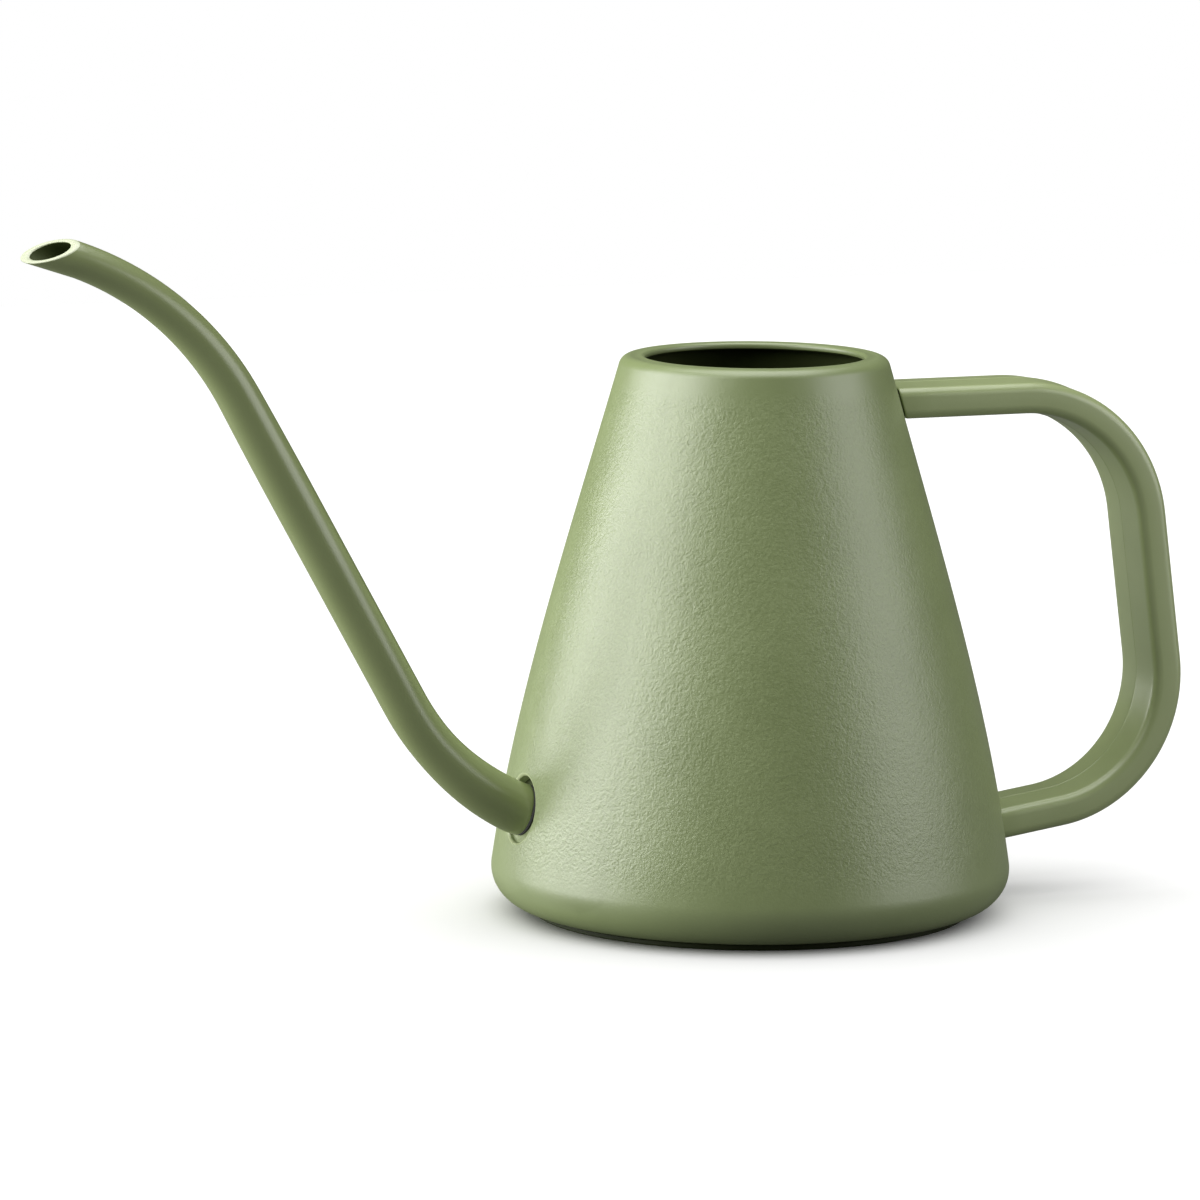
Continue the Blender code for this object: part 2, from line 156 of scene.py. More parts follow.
def inner_radius(height):
    return side_radius(height) - wall / math.cos(side_lean(height))


# Small modelling helpers

def turned_about(form, start, axis, origin, steps):
    """Spins a chain of edges a full turn and closes the seam."""
    bmesh.ops.spin(form, geom=start, cent=origin, axis=axis, angle=math.tau, steps=steps,
                   use_merge=True, use_duplicate=False)
    bmesh.ops.remove_doubles(form, verts=form.verts, dist=0.000002)
    bmesh.ops.recalc_face_normals(form, faces=form.faces)


def outline(form, points, closed):
    corners = [form.verts.new(point) for point in points]
    edges = [form.edges.new(pair) for pair in zip(corners, corners[1:])]
    if closed:
        edges.append(form.edges.new((corners[-1], corners[0])))
    return corners + edges


def arc(centre, radius, start, end, count):
    angles = [start + (end - start) * i / count for i in range(count + 1)]
    return [(centre[0] + radius * math.cos(a), 0.0, centre[1] + radius * math.sin(a)) for a in angles]


def finished(form, name, material, sharp=40.0):
    mesh = bpy.data.meshes.new(name)
    form.to_mesh(mesh)
    form.free()
    obj = bpy.data.objects.new(name, mesh)
    bpy.context.scene.collection.objects.link(obj)
    mesh.materials.append(material)
    mesh.shade_smooth()
    mesh.set_sharp_from_angle(angle=math.radians(sharp))
    return obj


def applied(obj):
    """Bakes the object's modifiers into its mesh."""
    graph = bpy.context.evaluated_depsgraph_get()
    mesh = bpy.data.meshes.new_from_object(obj.evaluated_get(graph))
    obj.modifiers.clear()
    obj.data = mesh
    return obj


def cut(obj, cutters, operation="DIFFERENCE"):
    for cutter in cutters:
        modifier = obj.modifiers.new("Cut", "BOOLEAN")
        modifier.operation = operation
        modifier.solver = "EXACT"
        modifier.object = cutter
    applied(obj)
    for cutter in cutters:
        bpy.data.objects.remove(cutter, do_unlink=True)
    return obj


def lined(obj, finish, is_inside):
    """Gives the faces that is_inside picks, by their middle and their outward direction, a finish."""
    obj.data.materials.append(finish)
    for face in obj.data.polygons:
        if is_inside(face.center, face.normal):
            face.material_index = len(obj.data.materials) - 1


def axis_frame(origin, outward, up):
    side = outward.cross(up)
    rotation = Matrix((up, side, outward)).transposed().to_4x4()
    return Matrix.Translation(origin) @ rotation


def rounded_path(corners, bends, step):
    """Points and directions along straight legs joined by arcs, in the plane Y = 0."""
    stations = [(corners[0], (corners[1] - corners[0]).normalized())]
    for before, corner, after, bend in zip(corners, corners[1:], corners[2:], bends):
        arriving = (corner - before).normalized()
        leaving = (after - corner).normalized()
        turn = arriving.angle(leaving)
        tangent = min(bend * math.tan(turn / 2), 0.95 * (corner - before).length)
        bend = tangent / math.tan(turn / 2)
        start = corner - arriving * tangent
        inward = (leaving - arriving * arriving.dot(leaving)).normalized()
        centre = start + inward * bend
        count = max(2, math.ceil(turn / step))
        for i in range(count + 1):
            angle = turn * i / count
            place = centre - inward * (bend * math.cos(angle)) + arriving * (bend * math.sin(angle))
            heading = arriving * math.cos(angle) + inward * math.sin(angle)
            stations.append((place, heading))
    stations.append((corners[-1], (corners[-1] - corners[-2]).normalized()))
    return stations


def evenly(stations, longest):
    """Adds stations on the straight legs so no step is longer than this."""
    fine = [stations[0]]
    for before, after in zip(stations, stations[1:]):
        count = max(1, math.ceil((after[0] - before[0]).length / longest))
        for i in range(1, count + 1):
            share = i / count
            fine.append((before[0].lerp(after[0], share), before[1].lerp(after[1], share).normalized()))
    return fine


def lengths_along(stations):
    lengths = [0.0]
    for before, after in zip(stations, stations[1:]):
        lengths.append(lengths[-1] + (after[0] - before[0]).length)
    return lengths


def eased(share):
    share = min(max(share, 0.0), 1.0)
    return share * share * (3 - 2 * share)


def block(low, high, place=Matrix.Identity(4), rounding=0.0, name="block"):
    """A box between two corners in its own frame, for cutting or joining."""
    form = bmesh.new()
    bmesh.ops.create_cube(form, size=1.0)
    bmesh.ops.scale(form, vec=[high[i] - low[i] for i in range(3)], verts=form.verts)
    bmesh.ops.translate(form, vec=[(high[i] + low[i]) / 2 for i in range(3)], verts=form.verts)
    if rounding:
        bmesh.ops.bevel(form, geom=form.edges[:], offset=rounding, segments=3, profile=0.5,
                        affect="EDGES", material=-1)
    bmesh.ops.transform(form, matrix=place, verts=form.verts)
    return tool_piece(form, name)


def rod(radius, low, high, place=Matrix.Identity(4), steps=48, name="rod"):
    form = bmesh.new()
    bmesh.ops.create_cone(form, cap_ends=True, segments=steps, radius1=radius, radius2=radius,
                          depth=high - low)
    bmesh.ops.translate(form, vec=(0, 0, (high + low) / 2), verts=form.verts)
    bmesh.ops.transform(form, matrix=place, verts=form.verts)
    return tool_piece(form, name)


def tool_piece(form, name):
    """A mesh object that only feeds a Boolean."""
    mesh = bpy.data.meshes.new(name)
    form.to_mesh(mesh)
    form.free()
    obj = bpy.data.objects.new(name, mesh)
    bpy.context.scene.collection.objects.link(obj)
    return obj


def drawn_through(form, ring_points, placements, closed_on_itself=False):
    """Extrudes a closed ring through a list of placements, each a function from ring point to place."""
    corners = [form.verts.new(placements[0](Vector(point))) for point in ring_points]
    local = {corner: Vector(point) for corner, point in zip(corners, ring_points)}
    first = [form.edges.new(pair) for pair in zip(corners, corners[1:] + corners[:1])]
    ring = first
    for place in placements[1:]:
        made = bmesh.ops.extrude_edge_only(form, edges=ring)["geom"]
        fresh = {}
        for vert in [item for item in made if isinstance(item, bmesh.types.BMVert)]:
            neighbours = [edge.other_vert(vert) for edge in vert.link_edges]
            fresh[vert] = next(local[other] for other in neighbours if other in local)
        for vert, point in fresh.items():
            vert.co = place(point)
        ring = [item for item in made if isinstance(item, bmesh.types.BMEdge)
                and item.verts[0] in fresh and item.verts[1] in fresh]
        local = fresh
    if closed_on_itself:
        bmesh.ops.bridge_loops(form, edges=first + ring)
    else:
        bmesh.ops.holes_fill(form, edges=form.edges[:], sides=0)
    bmesh.ops.recalc_face_normals(form, faces=form.faces)


# Finishes

def new_finish(name):
    material = bpy.data.materials.new(name)
    material.use_nodes = True
    nodes = material.node_tree.nodes
    return material, nodes, material.node_tree.links, nodes["Principled BSDF"]


def noise(nodes, links, place, scale, detail, roughness=0.5):
    texture = nodes.new("ShaderNodeTexNoise")
    texture.inputs["Scale"].default_value = scale
    texture.inputs["Detail"].default_value = detail
    texture.inputs["Roughness"].default_value = roughness
    links.new(place.outputs["Object"], texture.inputs["Vector"])
    return texture.outputs["Fac"]


def between(nodes, links, value, low, high, to_low, to_high, smooth=False):
    ramp = nodes.new("ShaderNodeMapRange")
    ramp.interpolation_type = "SMOOTHSTEP" if smooth else "LINEAR"
    ramp.inputs["From Min"].default_value = low
    ramp.inputs["From Max"].default_value = high
    ramp.inputs["To Min"].default_value = to_low
    ramp.inputs["To Max"].default_value = to_high
    links.new(value, ramp.inputs["Value"])
    return ramp.outputs["Result"]


def product(nodes, links, first, second):
    multiply = nodes.new("ShaderNodeMath")
    multiply.operation = "MULTIPLY"
    links.new(first, multiply.inputs[0])
    links.new(second, multiply.inputs[1])
    return multiply.outputs["Value"]


def two_tone(nodes, links, amount, dark, light):
    mix = nodes.new("ShaderNodeMix")
    mix.data_type = "RGBA"
    for socket, colour in ((mix.inputs[6], dark), (mix.inputs[7], light)):
        if isinstance(colour, tuple):
            socket.default_value = colour
        else:
            links.new(colour, socket)
    links.new(amount, mix.inputs[0])
    return mix.outputs[2]


def bump(nodes, links, height, distance, strength, under=None):
    node = nodes.new("ShaderNodeBump")
    node.inputs["Distance"].default_value = distance
    links.new(height, node.inputs["Height"])
    if isinstance(strength, float):
        node.inputs["Strength"].default_value = strength
    else:
        links.new(strength, node.inputs["Strength"])
    if under is not None:
        links.new(under, node.inputs["Normal"])
    return node.outputs["Normal"]


def grained_sage():
    """Matte sage plastic with a leathery moulded grain on the side only."""
    material, nodes, links, shader = new_finish("sage_grained")
    place = nodes.new("ShaderNodeTexCoord")
    height = nodes.new("ShaderNodeSeparateXYZ")
    links.new(place.outputs["Object"], height.inputs["Vector"])
    above = between(nodes, links, height.outputs["Z"], 0.010, 0.024, 0.0, 1.0, True)
    below = between(nodes, links, height.outputs["Z"], 0.1400, 0.1465, 1.0, 0.0, True)
    side_only = product(nodes, links, above, below)
    cloud = noise(nodes, links, place, 45.0, 3.0)
    fine = noise(nodes, links, place, 1300.0, 2.0, 0.6)
    coarse = noise(nodes, links, place, 560.0, 2.0, 0.5)
    # Painted shade: the grain's valleys are coloured darker and its ridges lighter, as shading on its
    # relief; the cloud adds random tone on top
    valley_shade = product(nodes, links, between(nodes, links, fine, 0.36, 0.64, -0.5, 0.5), side_only)
    valley_shade = between(nodes, links, valley_shade, -0.5, 0.5, 0.0, 1.0)
    lower = two_tone(nodes, links, valley_shade, (0.196, 0.247, 0.095, 1.0), (0.230, 0.287, 0.117, 1.0))
    upper = two_tone(nodes, links, valley_shade, (0.222, 0.277, 0.112, 1.0), (0.260, 0.321, 0.138, 1.0))
    tone = two_tone(nodes, links, between(nodes, links, cloud, 0.3, 0.7, 0.0, 1.0), lower, upper)
    links.new(tone, shader.inputs["Base Color"])
    waves = noise(nodes, links, place, 70.0, 1.0)
    links.new(between(nodes, links, fine, 0.3, 0.7, 0.36, 0.43), shader.inputs["Roughness"])
    slow = bump(nodes, links, waves, 0.0012, 0.10)
    coarse_strength = between(nodes, links, side_only, 0.0, 1.0, 0.01, 0.50)
    fine_strength = between(nodes, links, side_only, 0.0, 1.0, 0.03, 0.80)
    wrinkled = bump(nodes, links, coarse, 0.0002, coarse_strength, slow)
    links.new(bump(nodes, links, fine, 0.00018, fine_strength, wrinkled), shader.inputs["Normal"])
    shader.inputs["Specular IOR Level"].default_value = 1.0
    shader.inputs["IOR"].default_value = 1.55
    return material


def satin_sage(name, dark, light, rough_low, rough_high, shine=1.0):
    """Smooth satin plastic: slight colour clouding, a faint polish variation and no grain."""
    material, nodes, links, shader = new_finish(name)
    place = nodes.new("ShaderNodeTexCoord")
    cloud = noise(nodes, links, place, 60.0, 3.0)
    tone = two_tone(nodes, links, between(nodes, links, cloud, 0.3, 0.7, 0.0, 1.0), dark, light)
    links.new(tone, shader.inputs["Base Color"])
    polish = noise(nodes, links, place, 220.0, 3.0)
    links.new(between(nodes, links, polish, 0.3, 0.7, rough_low, rough_high), shader.inputs["Roughness"])
    skin = noise(nodes, links, place, 1400.0, 2.0)
    links.new(bump(nodes, links, skin, 0.00008, 0.10), shader.inputs["Normal"])
    shader.inputs["Specular IOR Level"].default_value = shine
    return material


def black_rubber():
    material, nodes, links, shader = new_finish("black_rubber")
    place = nodes.new("ShaderNodeTexCoord")
    speck = noise(nodes, links, place, 900.0, 3.0)
    tone = two_tone(nodes, links, speck, (0.006, 0.006, 0.006, 1.0), (0.016, 0.016, 0.015, 1.0))
    links.new(tone, shader.inputs["Base Color"])
    links.new(between(nodes, links, speck, 0.3, 0.7, 0.6, 0.8), shader.inputs["Roughness"])
    links.new(bump(nodes, links, speck, 0.0001, 0.3), shader.inputs["Normal"])
    return material


def turned_steel():
    material, nodes, links, shader = new_finish("turned_steel")
    place = nodes.new("ShaderNodeTexCoord")
    brushing = noise(nodes, links, place, 2500.0, 2.0)
    tone = two_tone(nodes, links, brushing, (0.50, 0.50, 0.49, 1.0), (0.62, 0.62, 0.60, 1.0))
    links.new(tone, shader.inputs["Base Color"])
    links.new(between(nodes, links, brushing, 0.3, 0.7, 0.25, 0.40), shader.inputs["Roughness"])
    shader.inputs["Metallic"].default_value = 1.0
    return material


dull_shine = 0.15
body_finish = grained_sage()
spout_finish = satin_sage("spout_sage", (0.236, 0.288, 0.115, 1.0), (0.246, 0.299, 0.122, 1.0), 0.29, 0.32)
# Painted light: the handle is the body's sage plastic coloured lighter, standing in for light the lamps
# don't give it
handle_lightened_finish = satin_sage("handle_sage_painted_lighter", (0.340, 0.408, 0.185, 1.0), (0.364, 0.434, 0.202, 1.0),
                           0.30, 0.34)
# Painted shade: the base disc is the same sage plastic coloured near black, for the shade under the can
base_painted_shade = satin_sage("base_sage_painted_shade", (0.024, 0.032, 0.011, 1.0), (0.032, 0.041, 0.016, 1.0),
                         0.50, 0.60, dull_shine)
# Painted shade: the tank's inside and the spout's bore are the same sage plastic coloured near black, for
# the shade inside them
inside_painted_shade = satin_sage("shaded_sage", (0.040, 0.054, 0.014, 1.0), (0.050, 0.066, 0.020, 1.0),
                           0.50, 0.60, dull_shine)
# Painted highlight: a bright ring on the spout tip's slanted cut, for the light it catches
rim_painted_highlight = satin_sage("rim_highlight_sage", (0.60, 0.65, 0.45, 1.0), (0.64, 0.69, 0.48, 1.0), 0.30, 0.34)
# Painted highlight: the rolled edge round the spout's seat is coloured bright, for the light it catches
seat_roll_painted_highlight = satin_sage("seat_roll_highlight_sage", (0.40, 0.46, 0.25, 1.0), (0.44, 0.50, 0.28, 1.0), 0.26, 0.30)
sleeve_finish = satin_sage("sleeve_sage", (0.160, 0.190, 0.095, 1.0), (0.180, 0.210, 0.105, 1.0),
                           0.45, 0.55)
rubber_finish = black_rubber()
steel_finish = turned_steel()

# Seat frame: Z runs out along the spout's axis, X points up across it

seat_direction = Vector((-math.cos(seat_tilt), 0.0, math.sin(seat_tilt)))
seat_up = Vector((math.sin(seat_tilt), 0.0, math.cos(seat_tilt)))
seat_origin = Vector((-side_radius(seat_height), 0.0, seat_height)) - seat_direction * seat_depth
seat_frame = axis_frame(seat_origin, seat_direction, seat_up)


def tangent_arc(centre_height, radius):
    lean = side_lean(centre_height)
    for _ in range(20):
        lean = side_lean(centre_height + radius * math.sin(lean))
    across = side_radius(centre_height + radius * math.sin(lean)) - radius * math.cos(lean)
    return (across, centre_height), lean


shoulder_centre, shoulder_lean = tangent_arc(total_height - shoulder_radius, shoulder_radius)
corner_centre, corner_lean = tangent_arc(foot_reveal + corner_radius, corner_radius)
side_top = shoulder_centre[1] + shoulder_radius * math.sin(shoulder_lean)
side_foot = corner_centre[1] + corner_radius * math.sin(corner_lean)
mouth_radius = side_radius(total_height) - rim_width
base_plate_radius = corner_centre[0] - plate_inset
base_opening_radius = base_plate_radius - underside_ledge
ceiling = total_height - rim_thickness
floor_top = foot_reveal + wall


def make_core():
    """The space inside the wall's middle, which the bosses are trimmed to."""
    form = bmesh.new()
    heights = [side_top + (side_foot - side_top) * i / 40 for i in range(41)]
    points = [(0.0, 0.0, ceiling + rim_thickness / 2)]
    points.append((side_radius(ceiling) - wall, 0.0, ceiling + rim_thickness / 2))
    points += [(side_radius(height) - wall / 2, 0.0, height) for height in heights[1:]]
    points += [(corner_centre[0], 0.0, floor_top), (0.0, 0.0, floor_top)]
    turned_about(form, outline(form, points, False), (0, 0, 1), (0, 0, 0), 96)
    return tool_piece(form, "core")


def seat_cutter():
    """The round recess, with a soft floor corner and an outer edge rolled onto the body's curve."""
    floor_reach = seat_radius - seat_floor_round
    roll_reach = seat_radius + seat_edge_roll
    roll_foot = seat_depth - seat_edge_roll
    form = bmesh.new()
    points = [(0.0, 0.0, 0.0), (floor_reach, 0.0, 0.0)]
    for i in range(1, 4):
        angle = math.pi / 2 * i / 3
        points.append((floor_reach + seat_floor_round * math.sin(angle), 0.0,
                       seat_floor_round - seat_floor_round * math.cos(angle)))
    for i in range(0, 9):
        angle = math.radians(82) * i / 8
        points.append((roll_reach - seat_edge_roll * math.cos(angle), 0.0,
                       roll_foot + seat_edge_roll * math.sin(angle)))
    points.append((roll_reach + 0.0030, 0.0, seat_depth + 0.0006))
    points.append((roll_reach + 0.0030, 0.0, seat_depth + 2 * cutter_overrun))
    points.append((0.0, 0.0, seat_depth + 2 * cutter_overrun))
    turned_about(form, outline(form, points, False), (0, 0, 1), (0, 0, 0), 128)
    for vert in form.verts:
        if vert.co.z > seat_floor_round * 1.5:
            vert.co.z += surface_above_seat(vert.co.x, vert.co.y) - seat_depth
    bmesh.ops.transform(form, matrix=seat_frame, verts=form.verts)
    return tool_piece(form, "seat_cutter")


def surface_above_seat(up, across):
    """Distance from the seat's plane out to the body's surface, over one point of the plane."""
    low, high = -0.010, 0.015
    for _ in range(30):
        middle = (low + high) / 2
        place = seat_frame @ Vector((up, across, middle))
        if math.hypot(place.x, place.y) < side_radius(place.z):
            low = middle
        else:
            high = middle
    return low


def handle_boss(height):
    narrow = inner_radius(height + boss_half_height)
    pad = math.sqrt(narrow ** 2 - boss_half_width ** 2) - 0.0005
    low = (pad, -boss_half_width, height - boss_half_height)
    high = (side_radius(height) + 0.0050, boss_half_width, height + boss_half_height)
    boss = block(low, high, rounding=0.0010)
    return cut(boss, [make_core()], "INTERSECT"), pad


def neck_slot(height, pad):
    low = (pad - cutter_overrun, -neck_width / 2 - gap, height - neck_thickness / 2 - gap)
    high = (side_radius(height) + cutter_overrun, neck_width / 2 + gap, height + neck_thickness / 2 + gap)
    return block(low, high, rounding=0.0006)


lower_fixing_height = handle_lower_corner_height - handle_lower_reach * math.tan(handle_lower_slope)


def in_tank(middle, _direction):
    """True on the wall's inner faces, the bosses' faces and the mouth's lower edge, which take the painted
    shade.
    """
    reach = math.hypot(middle.x, middle.y)
    if middle.z > ceiling + 0.0004:
        return False
    if middle.z > corner_centre[1]:
        return reach < inner_radius(min(middle.z, ceiling)) + 0.0003
    if reach > corner_centre[0]:
        return math.hypot(reach - corner_centre[0], middle.z - corner_centre[1]) < corner_radius - wall / 2
    return middle.z > foot_reveal + wall / 2


def on_seat_roll(middle, _direction):
    """True on the rolled edge round the spout's seat, which is painted bright as a highlight."""
    local = seat_frame.inverted() @ middle
    reach = math.hypot(local.x, local.y)
    return seat_radius + 0.00002 < reach < seat_radius + 0.00062 and 0.0003 < local.z < 0.0200


def make_body():
    form = bmesh.new()
    rim_inner = mouth_radius + lip_radius
    rim_outer = shoulder_centre[0]
    points = arc((rim_inner, total_height - lip_radius), lip_radius, math.pi, math.pi / 2, 10)
    for i in range(1, 6):
        share = i / 6
        dip = 0.00018 * math.sin(math.pi * share)
        points.append((rim_inner + (rim_outer - rim_inner) * share, 0.0, total_height - dip))
    points += arc(shoulder_centre, shoulder_radius, math.pi / 2, shoulder_lean, 14)
    heights = [side_top + (side_foot - side_top) * i / 64 for i in range(1, 64)]
    points += [(side_radius(height), 0.0, height) for height in heights]
    points += arc(corner_centre, corner_radius, corner_lean, -math.pi / 2, 20)
    points += [(base_opening_radius, 0.0, foot_reveal), (base_opening_radius, 0.0, floor_top)]
    points += arc(corner_centre, corner_radius - wall, -math.pi / 2, 0.0, 8)
    inner = [corner_centre[1] + (ceiling - corner_centre[1]) * i / 24 for i in range(1, 25)]
    points += [(inner_radius(height), 0.0, height) for height in inner]
    points += arc((rim_inner, ceiling + lip_radius), lip_radius, -math.pi / 2, -math.pi, 6)
    turned_about(form, outline(form, points, True), (0, 0, 1), (0, 0, 0), 240)
    body = finished(form, "body_moulding", body_finish)
    upper, upper_pad = handle_boss(handle_top_height)
    lower, lower_pad = handle_boss(lower_fixing_height)
    seat_boss = rod(seat_boss_radius, -seat_floor, 0.0080, seat_frame, 64)
    cut(seat_boss, [make_core()], "INTERSECT")
    cut(body, [upper, lower, seat_boss], "UNION")
    hole = rod(spigot_radius + sliding_gap, -2 * cutter_overrun, cutter_overrun, seat_frame, 64)
    slot_low = (0.0, -key_width / 2 - sliding_gap, -4 * cutter_overrun)
    slot_high = (spigot_radius + key_height + sliding_gap, key_width / 2 + sliding_gap, cutter_overrun)
    slot = block(slot_low, slot_high, seat_frame)
    cut(body, [seat_cutter(), hole, slot, neck_slot(handle_top_height, upper_pad),
               neck_slot(lower_fixing_height, lower_pad)])
    body.data.shade_smooth()
    body.data.set_sharp_from_angle(angle=math.radians(38))
    # Painted shade: the tank's inner faces are coloured near black
    lined(body, inside_painted_shade, in_tank)
    # Painted highlight: the seat's rolled edge is coloured bright
    lined(body, seat_roll_painted_highlight, on_seat_roll)
    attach(body, "can")
    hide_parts("body_shell")
    return upper_pad, lower_pad


upper_pad, lower_pad = make_body()


def make_base():
    form = bmesh.new()
    top = foot_reveal - gap
    upstand = base_opening_radius - gap
    edge = 0.0004
    inside = upstand - wall
    points = [(0.0, 0.0, plate_thickness), (inside - 0.0010, 0.0, plate_thickness)]
    points += [(inside, 0.0, plate_thickness + 0.0008), (inside, 0.0, plate_upstand - edge)]
    points += [(inside + edge, 0.0, plate_upstand), (upstand - edge, 0.0, plate_upstand)]
    points += [(upstand, 0.0, plate_upstand - edge), (upstand, 0.0, top)]
    points.append((base_plate_radius - edge, 0.0, top))
    points += [(base_plate_radius, 0.0, top - edge), (base_plate_radius, 0.0, edge)]
    points += [(base_plate_radius - edge, 0.0, 0.0), (base_plate_radius - foot_ring_width, 0.0, 0.0)]
    ring_inner = base_plate_radius - foot_ring_width
    points += [(ring_inner - 0.0006, 0.0, foot_recess * 0.85), (ring_inner - 0.0012, 0.0, foot_recess)]
    for radius in foot_ribs:
        points += [(radius + 0.0008, 0.0, foot_recess), (radius + 0.0004, 0.0, foot_recess - 0.0004)]
        points += [(radius - 0.0004, 0.0, foot_recess - 0.0004), (radius - 0.0008, 0.0, foot_recess)]
    points += [(foot_pad_radius + 0.0008, 0.0, foot_recess), (foot_pad_radius, 0.0, 0.0), (0.0, 0.0, 0.0)]
    turned_about(form, outline(form, points, False), (0, 0, 1), (0, 0, 0), 192)
    # The disc takes the painted shade colour
    base = finished(form, "base_disc", base_painted_shade)
    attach(base, "can")
    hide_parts("base_plate")


make_base()

# Spout

upright = Vector((-math.sin(spout_lean), 0.0, math.cos(spout_lean)))
tip_direction = Vector((-math.cos(spout_tip_rise), 0.0, math.sin(spout_tip_rise)))
spout_root = seat_origin + seat_direction * (2 * gap + seal_thickness)
foot_corner = seat_origin + seat_direction * spout_seat_leg
foot_direction = Vector((-math.cos(spout_foot_rise), 0.0, math.sin(spout_foot_rise)))
lower_corner = foot_corner + foot_direction * spout_lower_leg
upper_corner = lower_corner + upright * spout_middle_leg
cut_middle = upper_corner + tip_direction * spout_upper_leg
tube_end = cut_middle + tip_direction * tube_overrun
cut_normal = Matrix.Rotation(math.pi / 2 - tip_cut_angle, 4, "Y") @ tip_direction
cut_normal = Matrix.Rotation(tip_cut_turn, 4, tip_direction) @ cut_normal
spout_stations = []


def in_bore(middle, direction):
    """True where the spout's surface faces its own middle line, short of the rounded tip; these faces take
    the painted shade.
    """
    nearest = min(spout_stations, key=lambda station: (station[0] - middle).length_squared)
    inwards = direction.dot(nearest[0] - middle) > 0.7 * (nearest[0] - middle).length
    return inwards and (cut_middle - middle).dot(cut_normal) > 0.0009


def on_rim(middle, direction):
    """True on the edge of the slanted cut, which is painted bright as a highlight."""
    behind = (cut_middle - middle).dot(cut_normal)
    return behind < 0.0004 and direction.dot(cut_normal) > 0.45


def make_spout():
    stations = rounded_path([spout_root, foot_corner, lower_corner, upper_corner, tube_end],
                            [spout_foot_bend, spout_lower_bend, spout_upper_bend], math.radians(1.5))
    stations = evenly(stations, 0.0030)
    spout_stations.extend(stations)
    lengths = lengths_along(stations)
    cut_length = lengths[-1] - tube_overrun
    taper_start = cut_length - spout_taper_length

    def skin_radius(length):
        flared = eased(length / spout_flare_length)
        tapered = eased((length - taper_start) / spout_taper_length)
        radius = spout_root_radius + (spout_mid_radius - spout_root_radius) * flared
        return radius + (spout_tip_radius - spout_mid_radius) * tapered

    def bore_radius(length):
        return min(skin_radius(length) - spout_wall, spigot_bore + length * 0.12)

    def ring(place, heading, radius):
        side = Vector((0.0, 1.0, 0.0))
        up = heading.cross(side)
        return lambda point: place + (side * point.x + up * point.y) * radius

    def on_cut(radius, back):
        """A ring slid along the tip's axis onto the slanted cut, set back from it."""
        straight = ring(cut_middle, tip_direction, radius)

        def place(point):
            spot = straight(point)
            away = (cut_middle - spot).dot(cut_normal) / tip_direction.dot(cut_normal)
            return spot + tip_direction * (away - back)
        return place

    last_ring = cut_length - spout_tip_radius / math.tan(tip_cut_angle) - 0.0012
    kept = [(station, length) for station, length in zip(stations, lengths) if length < last_ring]
    edge = 0.00045
    places = [ring(seat_origin - seat_direction * spigot_length, seat_direction, spigot_radius - edge)]
    for back, radius in ((edge, spigot_radius), (spigot_length - 0.0010, spigot_radius)):
        places.append(ring(seat_origin - seat_direction * (spigot_length - back), seat_direction, radius))
    places.append(ring(spout_root - seat_direction * 0.0002, seat_direction, spigot_radius))
    places.append(ring(spout_root, seat_direction, spigot_radius + 0.0002))
    for i in range(0, 6):
        angle = math.pi / 2 * i / 5
        place = spout_root + seat_direction * (edge - edge * math.cos(angle))
        places.append(ring(place, seat_direction, spout_root_radius - edge + edge * math.sin(angle)))
    for (place, heading), length in kept[1:]:
        if length > edge * 1.5:
            places.append(ring(place, heading, skin_radius(length)))
    tip_bore = spout_tip_radius - spout_wall
    back = tip_edge_round / math.sin(tip_cut_angle)
    turns = [math.pi / 2 * i / 5 for i in range(0, 6)]
    for turn in turns:
        radius = spout_tip_radius - tip_edge_round * (1 - math.cos(turn))
        places.append(on_cut(radius, back * (1 - math.sin(turn))))
    for turn in turns:
        radius = tip_bore + tip_edge_round * (1 - math.sin(turn))
        places.append(on_cut(radius, back * (1 - math.cos(turn))))
    for (place, heading), length in reversed(kept[1:]):
        places.append(ring(place, heading, bore_radius(length)))
    places.append(ring(seat_origin, seat_direction, spigot_bore))
    places.append(ring(seat_origin - seat_direction * spigot_length, seat_direction, spigot_bore))
    circle = [(math.cos(math.tau * i / 72), math.sin(math.tau * i / 72), 0.0) for i in range(72)]
    form = bmesh.new()
    drawn_through(form, circle, places, closed_on_itself=True)
    spout = finished(form, "spout_moulding", spout_finish)
    key = block((spigot_radius - 0.0020, -key_width / 2, -spigot_length + 0.0010),
                (spigot_radius + key_height - 0.0001, key_width / 2, -0.0040), seat_frame, 0.0002)
    cut(spout, [key], "UNION")
    bore = rod(spigot_bore - 0.00001, -spigot_length - 0.001, -0.0010, seat_frame, 72)
    cut(spout, [bore])
    spout.data.shade_smooth()
    spout.data.set_sharp_from_angle(angle=math.radians(40))
    # Painted shade: the spout's bore is coloured near black
    lined(spout, inside_painted_shade, in_bore)
    # Painted highlight: the tip's cut edge is coloured bright
    lined(spout, rim_painted_highlight, on_rim)
    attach(spout, "spout")
    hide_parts("spout_tube")


make_spout()


def make_seal():
    form = bmesh.new()
    middle = gap + seal_thickness / 2
    half = seal_thickness / 2
    hole = spigot_radius + gap
    points = [(hole, 0.0, middle + half), (hole, 0.0, middle - half)]
    for i in range(0, 9):
        angle = -math.pi / 2 + math.pi * i / 8
        points.append((seal_radius - half + half * math.cos(angle), 0.0, middle + half * math.sin(angle)))
    turned_about(form, outline(form, points, True), (0, 0, 1), (0, 0, 0), 96)
    bmesh.ops.transform(form, matrix=seat_frame, verts=form.verts)
    seal = finished(form, "spout_ring", rubber_finish)
    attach(seal, "spout")
    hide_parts("spout_seal")


make_seal()

# Handle

